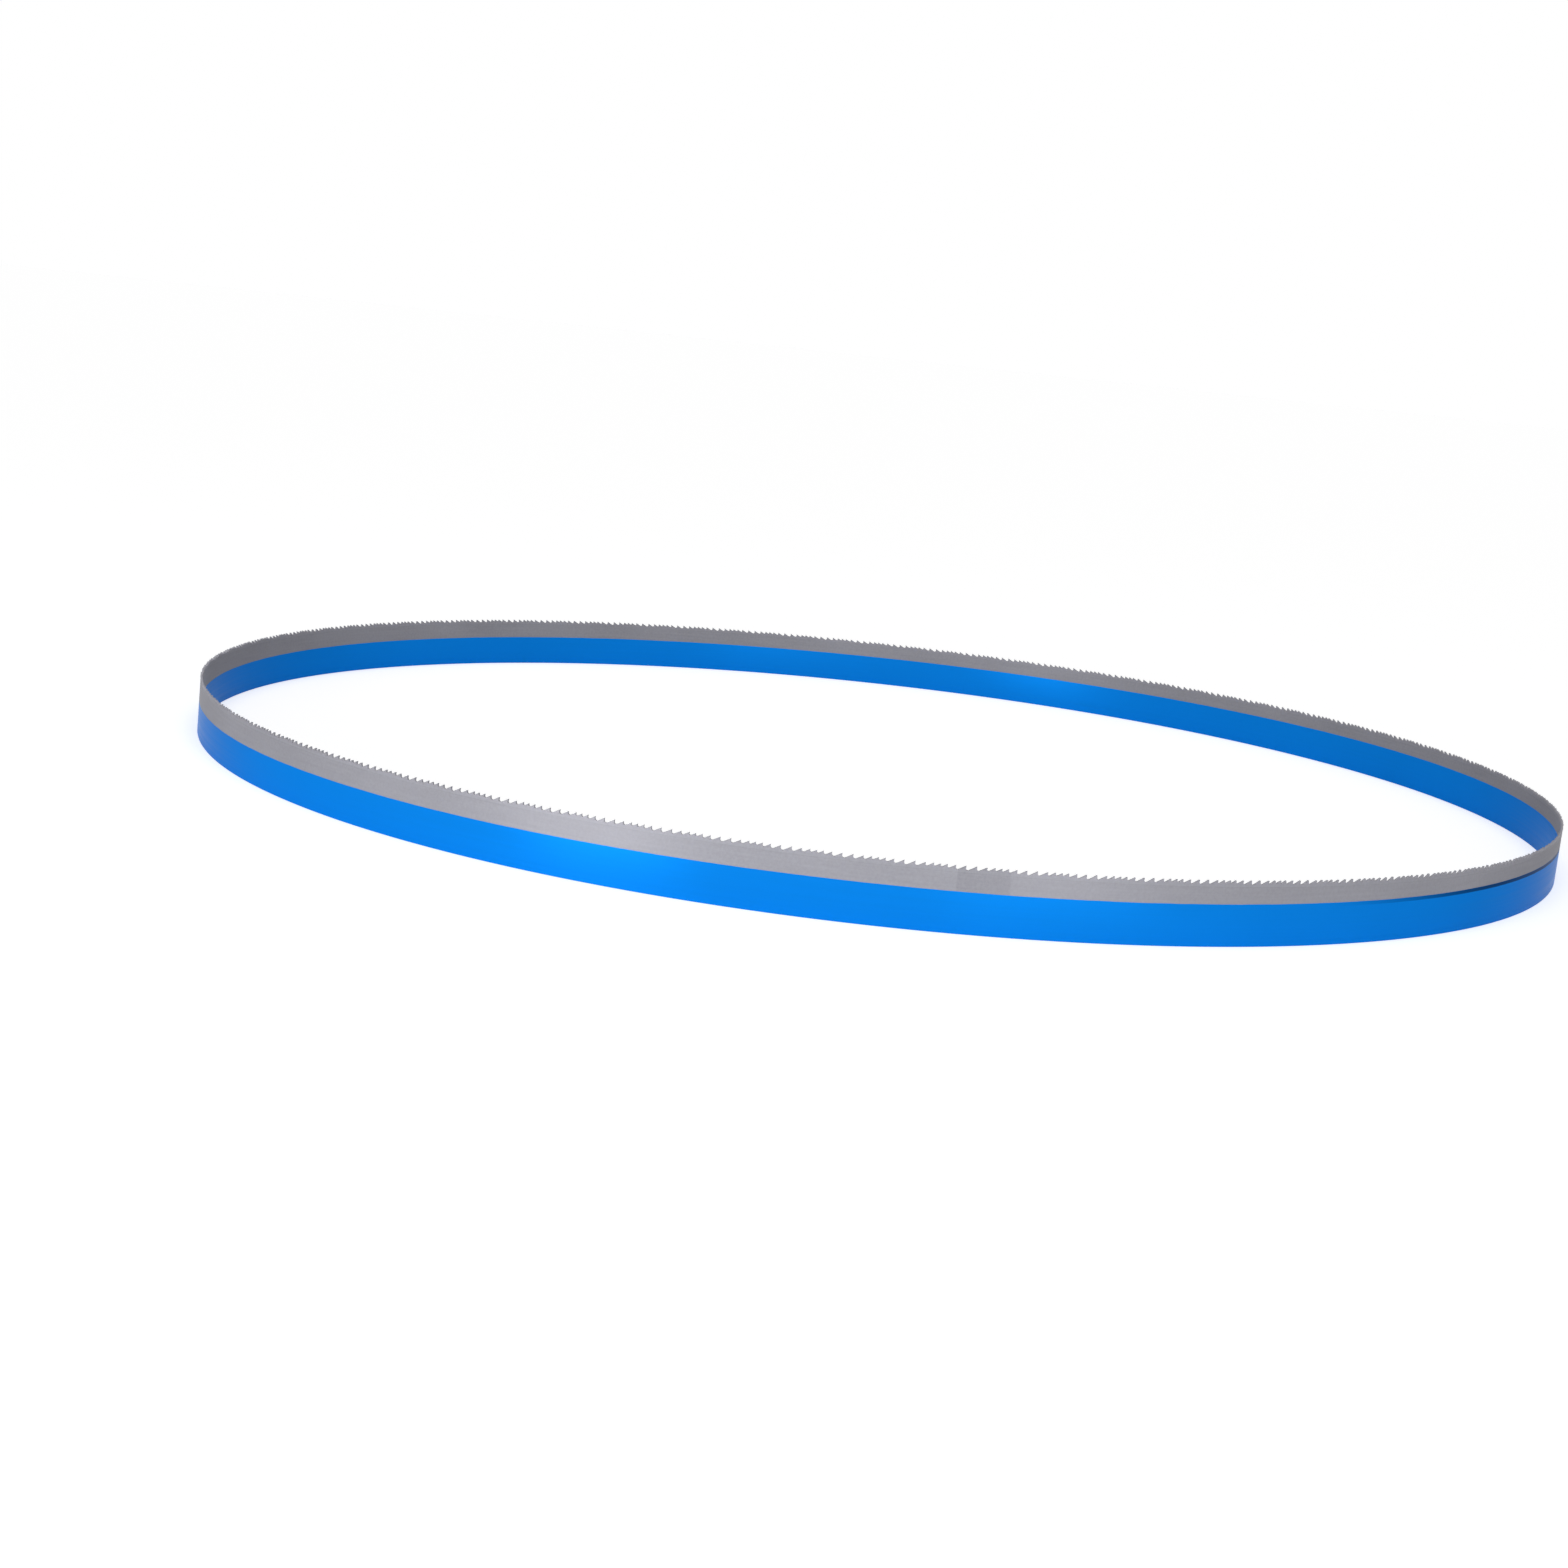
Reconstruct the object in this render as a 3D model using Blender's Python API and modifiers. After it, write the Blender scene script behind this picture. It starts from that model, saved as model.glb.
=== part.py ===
"""Band saw blade: one endless toothed steel band, lying on its back edge with its teeth up.

The band is a single piece. Its ends are butt welded into a hoop, and the body is painted up to
a bare strip that carries the teeth. The teeth have a variable pitch and lean to alternate sides,
with one straight tooth in each group. Origin: centre of the hoop at its back edge, +Z to the teeth.
"""

from math import acos, atan2, cos, hypot, pi, radians, sin, tan

import bmesh
import bpy

# Band, in metres
BLADE_LENGTH = 2.145        # once round the hoop, at mid-thickness
BAND_WIDTH = 0.027          # back edge to tooth tips
BAND_THICKNESS = 0.0009
BARE_STRIP_WIDTH = 0.0100   # tooth tips down to the paint line

# Teeth: 6 to 10 to the inch, in groups whose pitch widens and narrows
COARSE_PITCH = 0.0254 / 6
FINE_PITCH = 0.0254 / 10
TEETH_PER_GROUP = 7
RAKE_ANGLE = radians(4)
GULLET_DEPTH_PER_PITCH = 0.40
GULLET_RADIUS_PER_PITCH = 0.20
TOOTH_LEAN = radians(12)    # set of a tooth, bent to one side at its root

# Fineness of the curves
GULLET_ARC_POINTS = 3       # odd, so that each gullet has a middle point
BODY_SPANS_PER_GROUP = 2    # facets of the plain body under one group of teeth
MERGE_DISTANCE = 0.00001
SHARP_EDGE_ANGLE = radians(8)


def group_pitches():
    """Pitches of one group: a cosine from the coarse pitch to the fine one and back."""
    middle = (COARSE_PITCH + FINE_PITCH) / 2
    swing = (COARSE_PITCH - FINE_PITCH) / 2
    return [middle + swing * cos(2 * pi * i / TEETH_PER_GROUP) for i in range(TEETH_PER_GROUP)]


def tooth_lean(index):
    """Sideways lean of a tooth: the first of a group is straight, the rest alternate."""
    if index == 0:
        return 0.0
    return TOOTH_LEAN if index % 2 else -TOOTH_LEAN


def gullet_arc(tip_x, pitch):
    """Points of the gullet ahead of a tip: an arc tangent to the rake face and the next back."""
    radius = GULLET_RADIUS_PER_PITCH * pitch
    depth = GULLET_DEPTH_PER_PITCH * pitch
    center_x = tip_x - tan(RAKE_ANGLE) * (depth - radius) + radius / cos(RAKE_ANGLE)
    center_z = BAND_WIDTH - depth + radius

    to_next_x = tip_x + pitch - center_x
    to_next_z = BAND_WIDTH - center_z
    to_next = hypot(to_next_x, to_next_z)
    start = -pi - RAKE_ANGLE
    end = atan2(to_next_z, to_next_x) - acos(radius / to_next)

    steps = GULLET_ARC_POINTS - 1
    angles = [start + (end - start) * i / steps for i in range(GULLET_ARC_POINTS)]
    return [(center_x + radius * cos(a), center_z + radius * sin(a)) for a in angles]


def toothed_tile():
    """Flat mesh of one group of teeth, from the middle of one gullet to the same one further on."""
    nominal = group_pitches()
    groups = round(BLADE_LENGTH / sum(nominal))
    group_length = BLADE_LENGTH / groups
    pitches = [pitch * group_length / sum(nominal) for pitch in nominal]
    tips = [sum(pitches[:i]) for i in range(TEETH_PER_GROUP)]
    arcs = [gullet_arc(tip, pitch) for tip, pitch in zip(tips, pitches)]

    half = GULLET_ARC_POINTS // 2
    first_x = arcs[-1][half][0] - group_length
    shift = -BLADE_LENGTH / 2 - first_x

    bm = bmesh.new()
    lead = [(x - group_length, z) for x, z in arcs[-1][half:]]
    root_line = [bm.verts.new((x + shift, 0, z)) for x, z in lead]
    teeth = []
    for index, (tip_x, arc) in enumerate(zip(tips, arcs)):
        last = index == TEETH_PER_GROUP - 1
        ahead = arc[:half + 1] if last else arc
        heel = root_line[-1]
        root_line += [bm.verts.new((x + shift, 0, z)) for x, z in ahead]
        toe = root_line[-len(ahead)]
        root_z = (heel.co.z + toe.co.z) / 2
        height = BAND_WIDTH - root_z
        lean = tooth_lean(index)
        tip = bm.verts.new((tip_x + shift, height * sin(lean), root_z + height * cos(lean)))
        teeth.append((heel, toe, tip))

    spans = BODY_SPANS_PER_GROUP
    body_x = [first_x + shift + group_length * i / spans for i in range(spans + 1)]
    paint_line = [bm.verts.new((x, 0, BAND_WIDTH - BARE_STRIP_WIDTH)) for x in body_x]
    back_edge = [bm.verts.new((x, 0, 0)) for x in body_x]

    chains = [chain_edges(bm, line) for line in (root_line, paint_line, back_edge)]
    bare = bmesh.ops.bridge_loops(bm, edges=chains[0] + chains[1])["faces"]
    bmesh.ops.bridge_loops(bm, edges=chains[1] + chains[2])
    bare += [bm.faces.new(corners) for corners in teeth]
    for face in bare:
        face.material_index = 1
    bmesh.ops.recalc_face_normals(bm, faces=bm.faces)

    mesh = bpy.data.meshes.new("tooth_group")
    bm.to_mesh(mesh)
    bm.free()
    return mesh, groups, group_length


def chain_edges(bm, verts):
    """Edges that join a row of vertices end to end."""
    return [bm.edges.new(pair) for pair in zip(verts, verts[1:])]


def bend_into_hoop(blade, groups, group_length):
    """Repeat the tile to the blade's length, bend it into a circle, close it and thicken it."""
    array = blade.modifiers.new("tooth groups", "ARRAY")
    array.count = groups
    array.use_relative_offset = False
    array.use_constant_offset = True
    array.constant_offset_displace = (group_length, 0, 0)
    array.use_merge_vertices = True
    array.merge_threshold = MERGE_DISTANCE

    bend = blade.modifiers.new("hoop", "SIMPLE_DEFORM")
    bend.deform_method = "BEND"
    bend.deform_axis = "Z"
    bend.angle = 2 * pi

    weld = blade.modifiers.new("butt weld", "WELD")
    weld.merge_threshold = MERGE_DISTANCE

    wall = blade.modifiers.new("thickness", "SOLIDIFY")
    wall.thickness = BAND_THICKNESS
    wall.offset = 0

    blade.location = (0, -BLADE_LENGTH / (2 * pi), 0)


def freeze_smooth(blade):
    """Fix the modifiers' result as the mesh, smooth round the hoop and sharp at its edges."""
    depsgraph = bpy.context.evaluated_depsgraph_get()
    mesh = bpy.data.meshes.new_from_object(blade.evaluated_get(depsgraph))
    mesh.name = "blade_band"
    blade.modifiers.clear()
    blade.data = mesh
    mesh.shade_smooth()
    mesh.set_sharp_from_angle(angle=SHARP_EDGE_ANGLE)


def principled(name, color, roughness, metallic):
    """Plain surface material from a colour, a roughness and a metallic value."""
    material = bpy.data.materials.new(name)
    material.use_nodes = True
    shader = material.node_tree.nodes["Principled BSDF"]
    shader.inputs["Base Color"].default_value = (*color, 1)
    shader.inputs["Roughness"].default_value = roughness
    shader.inputs["Metallic"].default_value = metallic
    material.diffuse_color = (*color, 1)
    return material


def main():
    """Build the blade in its own collection."""
    for item in list(bpy.data.objects):
        bpy.data.objects.remove(item, do_unlink=True)

    collection = bpy.data.collections.new("band_saw_blade")
    bpy.context.scene.collection.children.link(collection)

    mesh, groups, group_length = toothed_tile()
    blade = bpy.data.objects.new("blade_band", mesh)
    collection.objects.link(blade)
    mesh.materials.append(principled("blue_paint", (0.010, 0.200, 0.680), 0.28, 0.0))
    mesh.materials.append(principled("bare_steel", (0.370, 0.380, 0.420), 0.42, 1.0))
    bend_into_hoop(blade, groups, group_length)
    freeze_smooth(blade)


main()
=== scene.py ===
from math import cos, pi, radians, sin, tan

import bpy
import numpy as np
from mathutils import Matrix, Vector


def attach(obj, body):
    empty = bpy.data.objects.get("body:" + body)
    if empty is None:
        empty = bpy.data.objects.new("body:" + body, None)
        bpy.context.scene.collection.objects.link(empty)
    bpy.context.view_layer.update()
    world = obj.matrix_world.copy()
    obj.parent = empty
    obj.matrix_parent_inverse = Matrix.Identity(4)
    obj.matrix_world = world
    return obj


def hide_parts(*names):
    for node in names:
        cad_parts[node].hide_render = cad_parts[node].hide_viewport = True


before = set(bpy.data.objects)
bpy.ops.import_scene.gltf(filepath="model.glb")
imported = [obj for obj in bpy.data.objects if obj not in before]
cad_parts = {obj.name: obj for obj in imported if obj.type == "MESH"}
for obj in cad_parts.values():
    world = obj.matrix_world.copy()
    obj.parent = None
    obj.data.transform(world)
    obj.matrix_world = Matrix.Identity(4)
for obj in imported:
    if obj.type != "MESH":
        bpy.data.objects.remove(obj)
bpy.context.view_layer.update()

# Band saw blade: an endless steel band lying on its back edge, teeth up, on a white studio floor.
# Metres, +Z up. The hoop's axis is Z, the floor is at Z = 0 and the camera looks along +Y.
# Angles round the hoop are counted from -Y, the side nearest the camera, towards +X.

# Band
BLADE_LENGTH = 2.145        # once round the hoop, at mid-thickness
HOOP_RADIUS = BLADE_LENGTH / (2 * pi)
BAND_WIDTH = 0.027          # back edge to tooth tips
BAND_THICKNESS = 0.0009
BARE_STRIP_WIDTH = 0.0100   # tooth tips down to the paint line
PAINT_LINE = BAND_WIDTH - BARE_STRIP_WIDTH
BACK_EDGE_ROUNDING = 0.00025
SHARP_EDGE_ANGLE = radians(35)

# Teeth: 6 to 10 to the inch, in groups whose pitch widens and narrows
COARSE_PITCH = 0.0254 / 6
FINE_PITCH = 0.0254 / 10
TEETH_PER_GROUP = 7
RAKE_ANGLE = radians(4)
GULLET_DEPTH_PER_PITCH = 0.40
GULLET_RADIUS_PER_PITCH = 0.20
TOOTH_LEAN = radians(12)
TIP_LAND = 0.00008                # narrow flat behind each cutting corner
BEND_LINE = BAND_WIDTH - 0.0020   # below the deepest gullet, where the band is flat again
GULLET_ARC_STEPS = 5
TOOTH_BACK_STEPS = 3
BODY_LEAD = 2.0                   # by how many points the even columns of the body lead the tips

# Hard steel strip that carries the teeth, joined to the band below the gullets
TOOTH_STRIP_SEAM = BAND_WIDTH - 0.0027
SEAM_HALF_WIDTH = 0.00018

# Butt weld, ground flush on the bare strip
WELD_ANGLE = radians(4.1)
WELD_LENGTH = 0.021
WELD_BLEND = 0.0008

# Paint and steel, as linear colours
BLUE = (0.003, 0.222, 0.755)
# colour of the painted shade along the paint line
EDGE_SHADE_COLOR = (0.002, 0.030, 0.105, 1)
STEEL = (0.360, 0.357, 0.392)
METALLIC = 0.3              # of both: the paint has a metal effect, the steel is blasted dull
EDGE_TINT = (0.45, 0.45, 0.45, 1)    # how much of a metal's glancing reflection is left
CLEAR_GLOSS = 0.005         # specular level, held low so that the hoop's ends stay blue
PAINT_ROUGHNESS = (0.33, 0.43)
STEEL_ROUGHNESS = (0.50, 0.60)
HIGHLIGHT_STRETCH = 0.8
HIGHLIGHT_TURN = 0.25       # of a full turn

# Paint line
PAINT_WAVE = 0.00025        # how far it strays up and down over a short way
PAINT_DRIFT = 0.0016        # how far it drifts over the whole hoop
WIDEST_BARE_STRIP = radians(-80)
EDGE_SOFTNESS = 0.00004
EDGE_SHADE = 0.0016         # width of a dark line of painted shade along the paint line, outside, to the right
EDGE_SHADE_BLEND = 0.00024
EDGE_SHADE_START = 0.5      # where it sets in, in hoop radii to the right
EDGE_SHADE_FULL = 0.78      # and where it is complete
EDGE_SHADE_STRENGTH = 0.9

# Patterns, as noise cells to the metre, or along and across the band
NOISE_LOW = 0.3             # fractal noise hardly goes lower
NOISE_HIGH = 0.7            # or higher
PAINT_LINE_SCALE = 90.0
PAINT_CLOUD_SCALE = 9.0
PAINT_RUB_SCALE = (6.0, 700.0, 1.0)
PAINT_RIPPLE_SCALE = 420.0
STEEL_GRAIN_SCALE = 900.0
STEEL_CLOUD_SCALE = 14.0
STEEL_BRUSH_SCALE = (30.0, 900.0, 1.0)

# How much they and the parts of the bare strip lighten or darken, as a share of the colour
PAINT_CLOUD_TONE = 0.04
PAINT_RUB_TONE = 0.02
STEEL_GRAIN_TONE = 0.07
STEEL_CLOUD_TONE = 0.05
STEEL_BRUSH_TONE = 0.03
TOOTH_STRIP_TONE = 0.04
SEAM_TONE = -0.09
WELD_TONE = -0.10
INNER_PAINTED_SHADE = -0.15          # painted shade: the bare strip made darker on the inner face

# Relief, in metres
PAINT_RIPPLE_HEIGHT = 0.000006
STEEL_GRAIN_HEIGHT = 0.000030
PAINT_THICKNESS = 0.000030
RELIEF_STRENGTH = 0.35

# Studio, with 1 as white
SKY_LEVEL = 0.28            # even light from all sides
OVERHEAD_LEVEL = 0.30       # what the overhead light gives the floor
OVERHEAD_SOFTNESS = radians(50)
OVERHEAD_TILT = radians(12)
SOFTBOX_RISE = 0.13         # centre of a low softbox above the floor
SOFTBOX_HEIGHT = 0.22
FLOOR_TONE = 0.80
FLOOR_ROUGHNESS = 0.9
FLOOR_SIZE = 60.0

# Camera: a frame of 1568 pixels, a focal length in the same pixels, and the hoop's centre
# in the camera's right, up and back directions, in hoop radii
IMAGE_PIXELS = 1568
FOCAL_PIXELS = 2490
SENSOR_WIDTH = 36.0
CAMERA_ELEVATION = radians(10.31)
CAMERA_ROLL = radians(6.06)
HOOP_IN_VIEW = (0.1350, 0.0168, -3.7845)


def tooth_line():
    """The toothed edge laid out straight, as arrays with one row per tooth.

    Pitches follow a cosine from coarse to fine and back over each group, scaled so that whole
    groups fill the blade. Ahead of each tip lies a gullet: an arc of radius r whose centre is r
    ahead of the rake line and r above the gullet's floor, from its tangent point on the rake
    line to the point whose tangent meets the next tip. Gives the distance along the band, that of
    the plain body's column below, which is evenly spaced in its pitch, the height, the sideways
    slope of the tooth that owns each point, and the height of its root.
    """
    order = np.arange(TEETH_PER_GROUP)
    middle = (COARSE_PITCH + FINE_PITCH) / 2
    swing = (COARSE_PITCH - FINE_PITCH) / 2
    nominal = middle + swing * np.cos(2 * pi * order / TEETH_PER_GROUP)
    groups = round(BLADE_LENGTH / nominal.sum())
    pitch = np.tile(nominal * BLADE_LENGTH / groups / nominal.sum(), groups)
    tip = np.cumsum(pitch) - pitch

    radius = GULLET_RADIUS_PER_PITCH * pitch
    depth = GULLET_DEPTH_PER_PITCH * pitch
    centre_s = tip - tan(RAKE_ANGLE) * (depth - radius) + radius / cos(RAKE_ANGLE)
    centre_z = BAND_WIDTH - depth + radius
    ahead = tip + pitch - centre_s
    above = BAND_WIDTH - centre_z
    start = -pi - RAKE_ANGLE
    end = np.arctan2(above, ahead) - np.arccos(radius / np.hypot(ahead, above))
    turn = start + (end - start)[:, None] * np.linspace(0, 1, GULLET_ARC_STEPS + 1)
    arc_s = centre_s[:, None] + radius[:, None] * np.cos(turn)
    arc_z = centre_z[:, None] + radius[:, None] * np.sin(turn)

    heel_s, heel_z = arc_s[:, -1:], arc_z[:, -1:]
    to_next = (tip + pitch)[:, None] - heel_s
    back_share = (1 - TIP_LAND / to_next) * np.arange(1, TOOTH_BACK_STEPS + 1) / TOOTH_BACK_STEPS
    back_s = heel_s + to_next * back_share
    back_z = heel_z + (BAND_WIDTH - heel_z) * back_share
    back_z[:, -1] = BAND_WIDTH

    along = np.hstack([tip[:, None], arc_s, back_s])
    height = np.hstack([np.full((len(tip), 1), BAND_WIDTH), arc_z, back_z])
    even = (np.arange(along.shape[1]) - BODY_LEAD) / along.shape[1]
    body_along = tip[:, None] + pitch[:, None] * even

    number = np.tile(order, groups)
    side = np.where(number == 0, 0.0, np.where(number % 2 == 1, 1.0, -1.0))
    root = (np.roll(heel_z[:, 0], 1) + arc_z[:, 0]) / 2
    own = 1 + (GULLET_ARC_STEPS + 1) // 2
    next_own = along.shape[1] - own
    slope = split_between(side * tan(TOOTH_LEAN), own, next_own)
    root = split_between(root, own, next_own)

    first_gullet = centre_s[-1] + radius[-1] * cos((start + end[-1]) / 2) - BLADE_LENGTH
    shift = -BLADE_LENGTH / 2 - first_gullet
    return along + shift, body_along + shift, height, slope, root


def split_between(per_tooth, own, next_own):
    """Each tooth's value for its own points, then the next tooth's for the rest of the row."""
    mine = np.repeat(per_tooth[:, None], own, axis=1)
    following = np.repeat(np.roll(per_tooth, -1)[:, None], next_own, axis=1)
    return np.hstack([mine, following])


def band_section(along, body_along, height, slope, root):
    """The closed section of the band at every column, as rows of (along, inward, height).

    The outer face runs from the toothed edge down through the bend line and the paint line to the
    back edge, whose two corners are quarter circles, and up the inner face again. Above the
    root of its tooth a point stands to the side by its height above the root times the slope.
    Down to the bend line a column moves to its place on the body by the square of the way down.
    """
    half = BAND_THICKNESS / 2

    def face(side):
        rows = []
        for share in (0.0, 0.5, 1.0):
            z = height + (BEND_LINE - height) * share
            s = along + (body_along - along) * share ** 2
            rows.append((s, side * half + slope * np.maximum(z - root, 0), z))
        for z in (PAINT_LINE, BACK_EDGE_ROUNDING):
            rows.append((body_along, np.full_like(along, side * half), np.full_like(along, z)))
        return rows

    def corner(side):
        rows = []
        for turn in (pi / 4, pi / 2):
            inward = side * (half - BACK_EDGE_ROUNDING * (1 - cos(turn)))
            z = BACK_EDGE_ROUNDING * (1 - sin(turn))
            rows.append((body_along, np.full_like(along, inward), np.full_like(along, z)))
        return rows

    return np.array(face(-1) + corner(-1) + corner(1)[::-1] + face(1)[::-1])


def bent_round(section):
    """The straight band as a hoop: along over the radius is the angle, and inward shortens it."""
    along, inward, height = section[:, 0], section[:, 1], section[:, 2]
    angle = along / HOOP_RADIUS
    radius = HOOP_RADIUS - inward
    return np.stack([radius * np.sin(angle), -radius * np.cos(angle), height], axis=-1)


def closed_grid_quads(rows, columns):
    """Corner numbers of the quads of a grid that closes on itself in both directions."""
    row, column = np.meshgrid(np.arange(rows), np.arange(columns), indexing="ij")
    row_below, column_right = (row + 1) % rows, (column + 1) % columns
    left, right = row * columns + column, row * columns + column_right
    low_left, low_right = row_below * columns + column, row_below * columns + column_right
    return np.stack([left, right, low_right, low_left], axis=-1).reshape(-1, 4)


def blade_mesh():
    """The whole blade: the section at every column of the toothed edge, joined by quads.

    The UV map "band" holds metres along the band from the weld, and metres above the back edge.
    """
    section = band_section(*(part.ravel() for part in tooth_line()))
    weld_column = np.argmin(np.abs(section[0, 0] - WELD_ANGLE * HOOP_RADIUS))
    section = np.roll(section, -weld_column, axis=2)
    points = bent_round(section)
    rows, columns = points.shape[:2]
    quads = closed_grid_quads(rows, columns)

    mesh = bpy.data.meshes.new("blade")
    mesh.vertices.add(rows * columns)
    mesh.vertices.foreach_set("co", points.reshape(-1).astype(np.float32))
    mesh.loops.add(quads.size)
    mesh.loops.foreach_set("vertex_index", quads.reshape(-1).astype(np.int32))
    mesh.polygons.add(len(quads))
    mesh.polygons.foreach_set("loop_start", np.arange(0, quads.size, 4, dtype=np.int32))
    mesh.update(calc_edges=True)

    travel = np.mod(section[:, 0] - section[-1, 0, :1], BLADE_LENGTH).reshape(-1)[quads]
    crosses_weld = travel.max(axis=1, keepdims=True) - travel > BLADE_LENGTH / 2
    travel = np.where(crosses_weld, travel + BLADE_LENGTH, travel)
    rise = section[:, 2].reshape(-1)[quads]
    band_map = mesh.uv_layers.new(name="band")
    band_map.data.foreach_set("uv", np.stack([travel, rise], axis=-1).reshape(-1).astype(np.float32))

    mesh.shade_smooth()
    mesh.set_sharp_from_angle(angle=SHARP_EDGE_ANGLE)
    return mesh


def add_node(tree, kind, inputs=None, **settings):
    """A shader node with its settings, and with values or links on its inputs."""
    node = tree.nodes.new(kind)
    for name, value in settings.items():
        setattr(node, name, value)
    for name, value in (inputs or {}).items():
        if isinstance(value, bpy.types.NodeSocket):
            tree.links.new(value, node.inputs[name])
        else:
            node.inputs[name].default_value = value
    return node


def math_node(tree, operation, first, second=0.0, clamp=False):
    """One step of arithmetic on two values."""
    node = add_node(tree, "ShaderNodeMath", {0: first, 1: second}, operation=operation, use_clamp=clamp)
    return node.outputs[0]


def mixed(tree, factor, first, second):
    """Two colours mixed by a factor."""
    node = add_node(tree, "ShaderNodeMix", {0: factor, 6: first, 7: second}, data_type="RGBA")
    return node.outputs[2]


def mixed_value(tree, factor, first, second):
    """Two values mixed by a factor."""
    node = add_node(tree, "ShaderNodeMix", {0: factor, 2: first, 3: second}, data_type="FLOAT")
    return node.outputs[0]


def toned(tree, color, tone):
    """A fixed colour made lighter or darker by a tone around 1."""
    node = add_node(tree, "ShaderNodeVectorMath", {0: color, "Scale": tone}, operation="SCALE")
    return node.outputs["Vector"]


def spread(tree, value, low, high, to_low, to_high, smooth=False):
    """A value carried from one range to another and held at its ends."""
    kind = "SMOOTHSTEP" if smooth else "LINEAR"
    inputs = {"Value": value, "From Min": low, "From Max": high, "To Min": to_low, "To Max": to_high}
    node = add_node(tree, "ShaderNodeMapRange", inputs, interpolation_type=kind, clamp=True)
    return node.outputs["Result"]


def noise(tree, vector, scale, detail=2.0, roughness=0.5):
    """Fractal noise between 0 and 1."""
    inputs = {"Vector": vector, "Scale": scale, "Detail": detail, "Roughness": roughness}
    return add_node(tree, "ShaderNodeTexNoise", inputs).outputs["Fac"]


def varied(tree, fractal, low, high):
    """Fractal noise carried to a range."""
    return spread(tree, fractal, NOISE_LOW, NOISE_HIGH, low, high)


def stretched(tree, vector, scale):
    """A vector scaled on each axis."""
    return add_node(tree, "ShaderNodeMapping", {"Vector": vector, "Scale": scale}).outputs["Vector"]


def added(tree, first, *others):
    """The sum of several values."""
    total = first
    for other in others:
        total = math_node(tree, "ADD", total, other)
    return total


def near(tree, value, centre, inner, outer):
    """1 within a distance of a centre, falling to 0 further out."""
    away = math_node(tree, "ABSOLUTE", math_node(tree, "SUBTRACT", value, centre))
    return spread(tree, away, inner, outer, 1.0, 0.0, True)


def outer_face(tree, level):
    """1 on the outer face and 0 on the inner one, from the distance to the hoop's axis."""
    reach = add_node(tree, "ShaderNodeVectorMath", {0: level}, operation="LENGTH").outputs["Value"]
    quarter = BAND_THICKNESS / 4
    return spread(tree, reach, HOOP_RADIUS - quarter, HOOP_RADIUS + quarter, 0.0, 1.0)


def paint_boundary(tree, place, level, outside, height):
    """How bare the surface is, from 0 to 1, and a dark line of painted shade along the paint line.

    The line is wavy and lies in a slightly tilted plane, so the strip is widest at one side of the
    hoop. At the other side the outer face has a dark line of painted shade along the paint line.
    """
    downhill = (sin(WIDEST_BARE_STRIP) / HOOP_RADIUS, -cos(WIDEST_BARE_STRIP) / HOOP_RADIUS, 0)
    drift = add_node(tree, "ShaderNodeVectorMath", {0: place, 1: downhill}, operation="DOT_PRODUCT")
    drop = math_node(tree, "MULTIPLY", drift.outputs["Value"], -PAINT_DRIFT)
    wave = noise(tree, level, PAINT_LINE_SCALE, detail=3.0)
    line = added(tree, spread(tree, wave, 0.0, 1.0, -PAINT_WAVE / 2, PAINT_WAVE / 2), drop, PAINT_LINE)
    above = math_node(tree, "SUBTRACT", height, line)
    bare = spread(tree, above, -EDGE_SOFTNESS, EDGE_SOFTNESS, 0.0, 1.0, True)

    # painted shade: a dark line along the paint line on the outer face, growing towards the right
    half = EDGE_SHADE / 2
    edge = near(tree, above, -half, half - EDGE_SHADE_BLEND, half + EDGE_SHADE_BLEND)
    to_the_right = add_node(tree, "ShaderNodeSeparateXYZ", {"Vector": place}).outputs["X"]
    shade_share = spread(tree, to_the_right, HOOP_RADIUS * EDGE_SHADE_START, HOOP_RADIUS * EDGE_SHADE_FULL,
                     0.0, EDGE_SHADE_STRENGTH, True)
    return bare, math_node(tree, "MULTIPLY", edge, math_node(tree, "MULTIPLY", outside, shade_share))


def blue_paint(tree, place, band):
    """Colour, roughness and relief of the paint: faint clouds, rubbing along the band, a ripple."""
    cloud = noise(tree, place, PAINT_CLOUD_SCALE)
    rub = noise(tree, stretched(tree, band, PAINT_RUB_SCALE), 1.0, detail=3.0, roughness=0.6)
    ripple = noise(tree, place, PAINT_RIPPLE_SCALE, detail=1.0)
    tone = added(tree, varied(tree, cloud, 1 - PAINT_CLOUD_TONE, 1 + PAINT_CLOUD_TONE),
                 varied(tree, rub, -PAINT_RUB_TONE, PAINT_RUB_TONE))
    roughness = varied(tree, rub, *PAINT_ROUGHNESS)
    relief = math_node(tree, "MULTIPLY", ripple, PAINT_RIPPLE_HEIGHT)
    return toned(tree, BLUE, tone), roughness, relief


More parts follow.
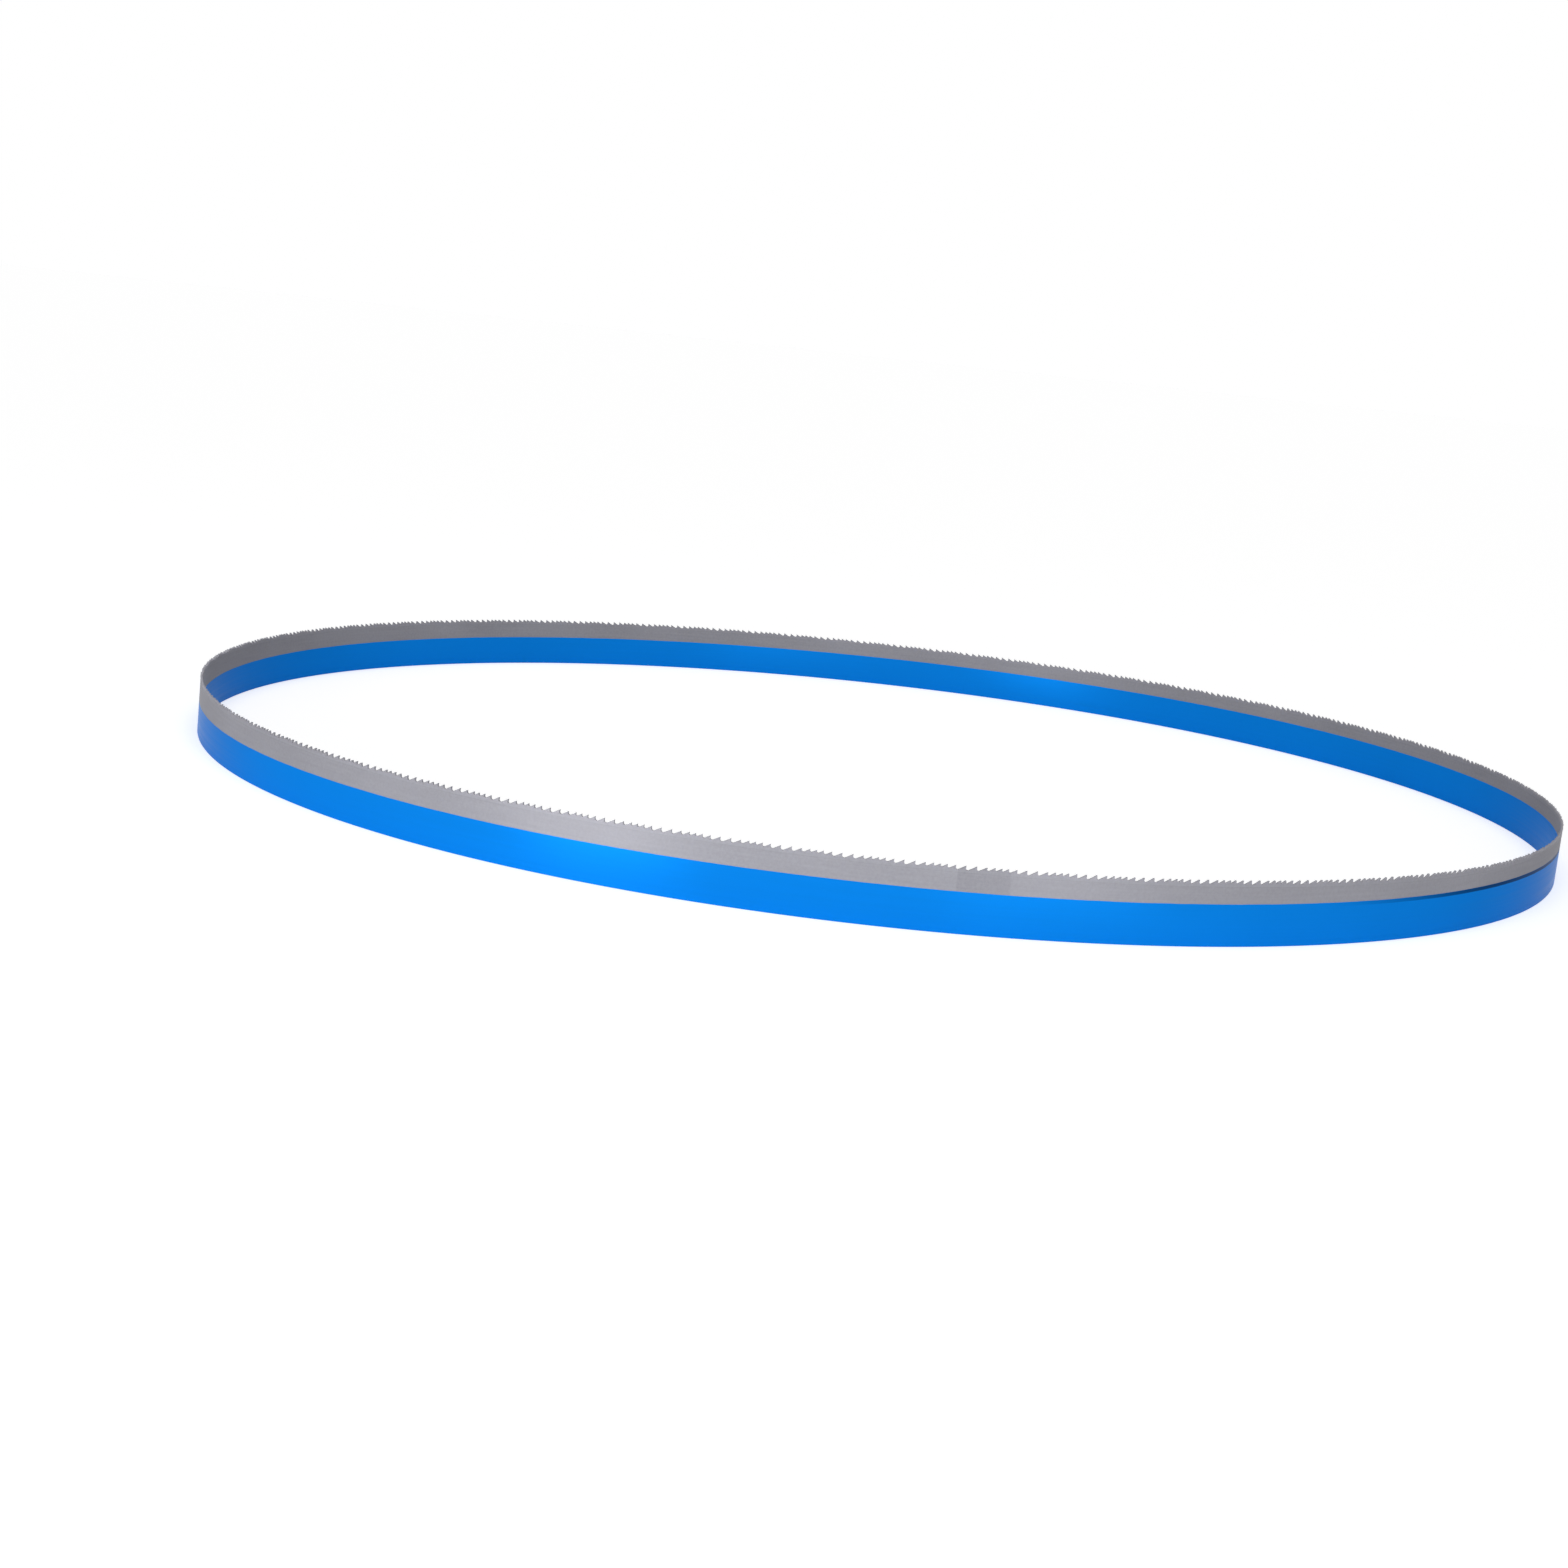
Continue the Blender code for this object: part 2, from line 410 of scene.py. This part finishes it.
def bare_steel(tree, place, band, outside, along, height):
    """Colour, roughness and relief of the bare strip: blasted grain, the tooth strip, the weld."""
    grain = noise(tree, place, STEEL_GRAIN_SCALE, detail=3.0, roughness=0.65)
    cloud = noise(tree, place, STEEL_CLOUD_SCALE)
    brushed = noise(tree, stretched(tree, band, STEEL_BRUSH_SCALE), 1.0)
    seam = near(tree, height, TOOTH_STRIP_SEAM, 0.0, SEAM_HALF_WIDTH)
    seam_top = TOOTH_STRIP_SEAM + SEAM_HALF_WIDTH
    half_weld = WELD_LENGTH / 2
    weld = near(tree, along, half_weld, half_weld - WELD_BLEND, half_weld + WELD_BLEND)

    tone = added(tree, varied(tree, grain, 1 - STEEL_GRAIN_TONE, 1 + STEEL_GRAIN_TONE),
                 varied(tree, cloud, -STEEL_CLOUD_TONE, STEEL_CLOUD_TONE),
                 varied(tree, brushed, -STEEL_BRUSH_TONE, STEEL_BRUSH_TONE),
                 spread(tree, height, TOOTH_STRIP_SEAM, seam_top, 0.0, TOOTH_STRIP_TONE),
                 # painted shade: the bare strip darker on the inner face of the hoop
                 spread(tree, outside, 0.0, 1.0, INNER_PAINTED_SHADE, 0.0),
                 math_node(tree, "MULTIPLY", seam, SEAM_TONE),
                 math_node(tree, "MULTIPLY", weld, WELD_TONE))
    roughness = varied(tree, grain, *STEEL_ROUGHNESS)
    relief = math_node(tree, "MULTIPLY", grain, STEEL_GRAIN_HEIGHT)
    return toned(tree, STEEL, tone), roughness, relief


def blade_finish():
    """Blue paint up to the paint line, and bare steel above it."""
    material = bpy.data.materials.new("blade_finish")
    material.use_nodes = True
    tree = material.node_tree
    shader = tree.nodes["Principled BSDF"]

    band = add_node(tree, "ShaderNodeUVMap", uv_map="band").outputs["UV"]
    parts = add_node(tree, "ShaderNodeSeparateXYZ", {"Vector": band})
    along, height = parts.outputs["X"], parts.outputs["Y"]
    place = add_node(tree, "ShaderNodeTexCoord").outputs["Object"]

    level = stretched(tree, place, (1, 1, 0))
    outside = outer_face(tree, level)
    bare, edge = paint_boundary(tree, place, level, outside, height)
    paint_color, paint_roughness, paint_relief = blue_paint(tree, place, band)
    steel_color, steel_roughness, steel_relief = bare_steel(tree, place, band, outside, along, height)

    color = mixed(tree, bare, paint_color, steel_color)
    # the painted shade along the paint line
    color = mixed(tree, edge, color, EDGE_SHADE_COLOR)
    tree.links.new(color, shader.inputs["Base Color"])
    roughness = mixed_value(tree, bare, paint_roughness, steel_roughness)
    tree.links.new(roughness, shader.inputs["Roughness"])
    shader.inputs["Metallic"].default_value = METALLIC
    shader.inputs["Specular Tint"].default_value = EDGE_TINT
    shader.inputs["Specular IOR Level"].default_value = CLEAR_GLOSS

    # The band is ground lengthwise, so it spreads its highlights up and down
    tangent = add_node(tree, "ShaderNodeTangent", direction_type="RADIAL", axis="Z")
    tree.links.new(tangent.outputs["Tangent"], shader.inputs["Tangent"])
    shader.inputs["Anisotropic"].default_value = HIGHLIGHT_STRETCH
    shader.inputs["Anisotropic Rotation"].default_value = HIGHLIGHT_TURN

    paint_depth = spread(tree, bare, 0.0, 1.0, PAINT_THICKNESS, 0.0)
    relief = added(tree, mixed_value(tree, bare, paint_relief, steel_relief), paint_depth)
    bump_inputs = {"Height": relief, "Strength": RELIEF_STRENGTH, "Distance": 1.0}
    bump = add_node(tree, "ShaderNodeBump", bump_inputs)
    tree.links.new(bump.outputs["Normal"], shader.inputs["Normal"])
    return material


def white_seen(tree):
    """1 for rays from the camera, a mirror or glass, 0 for the rays that light things."""
    rays = add_node(tree, "ShaderNodeLightPath")
    seen = math_node(tree, "ADD", rays.outputs["Is Camera Ray"], rays.outputs["Is Glossy Ray"])
    return math_node(tree, "ADD", seen, rays.outputs["Is Transmission Ray"], clamp=True)


def studio_floor():
    """A wide pale floor, lifted to white where it is seen, that keeps the blade's soft shadow."""
    reach = FLOOR_SIZE / 2
    corners = [(-reach, -reach, 0), (reach, -reach, 0), (reach, reach, 0), (-reach, reach, 0)]
    mesh = bpy.data.meshes.new("floor")
    mesh.from_pydata(corners, [], [(0, 1, 2, 3)])
    floor = bpy.data.objects.new("floor", mesh)
    bpy.context.scene.collection.objects.link(floor)

    material = bpy.data.materials.new("floor_white")
    material.use_nodes = True
    tree = material.node_tree
    shader = tree.nodes["Principled BSDF"]
    shader.inputs["Base Color"].default_value = (FLOOR_TONE, FLOOR_TONE, FLOOR_TONE, 1)
    shader.inputs["Roughness"].default_value = FLOOR_ROUGHNESS
    shader.inputs["Specular IOR Level"].default_value = 0.0
    shader.inputs["Emission Color"].default_value = (1, 1, 1, 1)
    lift = 1 - FLOOR_TONE * (SKY_LEVEL + OVERHEAD_LEVEL)
    strength = math_node(tree, "MULTIPLY", white_seen(tree), lift)
    tree.links.new(strength, shader.inputs["Emission Strength"])
    mesh.materials.append(material)


def studio_world():
    """White behind everything that is seen, and a softer even light on the blade."""
    world = bpy.data.worlds.new("studio")
    bpy.context.scene.world = world
    world.use_nodes = True
    tree = world.node_tree
    background = tree.nodes["Background"]
    background.inputs["Color"].default_value = (1, 1, 1, 1)
    strength = spread(tree, white_seen(tree), 0.0, 1.0, SKY_LEVEL, 1.0)
    tree.links.new(strength, background.inputs["Strength"])


def softbox(name, place, target, width, height, watts):
    """A rectangular soft lamp at a place, facing a target."""
    data = bpy.data.lights.new(name, "AREA")
    data.shape = "RECTANGLE"
    data.size = width
    data.size_y = height
    data.energy = watts
    lamp = bpy.data.objects.new(name, data)
    bpy.context.scene.collection.objects.link(lamp)
    lamp.location = place
    lamp.rotation_euler = (Vector(target) - Vector(place)).to_track_quat("-Z", "Y").to_euler()


def overhead_light():
    """Even, very soft light from above, leaning a little from the camera's side."""
    data = bpy.data.lights.new("overhead", "SUN")
    data.energy = pi * OVERHEAD_LEVEL
    data.angle = OVERHEAD_SOFTNESS
    lamp = bpy.data.objects.new("overhead", data)
    bpy.context.scene.collection.objects.link(lamp)
    lamp.rotation_euler = (OVERHEAD_TILT, 0, 0)


def highlight_softbox(name, camera, angle, distance, width, watts):
    """A low softbox that the band at this angle round the hoop mirrors towards the camera."""
    outward = Vector((sin(angle), -cos(angle), 0))
    face = outward * HOOP_RADIUS
    to_camera = (camera.location - face) * Vector((1, 1, 0))
    to_camera.normalize()
    mirrored = 2 * to_camera.dot(outward) * outward - to_camera
    place = face + mirrored * distance + Vector((0, 0, SOFTBOX_RISE))
    softbox(name, place, face, width, SOFTBOX_HEIGHT, watts)


def photo_camera():
    """The camera: level, tipped down by its elevation, then rolled about its own axis."""
    turn = Matrix.Rotation(pi / 2 - CAMERA_ELEVATION, 3, "X") @ Matrix.Rotation(CAMERA_ROLL, 3, "Z")
    data = bpy.data.cameras.new("photo_camera")
    data.sensor_width = SENSOR_WIDTH
    data.lens = FOCAL_PIXELS / IMAGE_PIXELS * SENSOR_WIDTH
    camera = bpy.data.objects.new("photo_camera", data)
    bpy.context.scene.collection.objects.link(camera)
    camera.location = turn @ Vector(HOOP_IN_VIEW) * -HOOP_RADIUS
    camera.rotation_euler = turn.to_euler()
    bpy.context.scene.camera = camera
    return camera


def main():
    """The blade, its finish and the studio around it."""
    blade = bpy.data.objects.new("blade", blade_mesh())
    bpy.context.scene.collection.objects.link(blade)
    blade.data.materials.append(blade_finish())
    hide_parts("blade_band")
    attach(blade, "root")

    camera = photo_camera()
    studio_floor()
    studio_world()
    overhead_light()
    highlight_softbox("left_softbox", camera, angle=radians(-19), distance=0.90, width=0.42, watts=4.4)
    highlight_softbox("right_softbox", camera, angle=radians(10), distance=1.00, width=0.60, watts=2.7)
    softbox("front_softbox", place=(-0.05, -1.75, 0.30), target=(0, -0.34, 0),
            width=1.0, height=0.4, watts=0.9)
    bpy.context.scene.view_settings.view_transform = "Standard"


main()
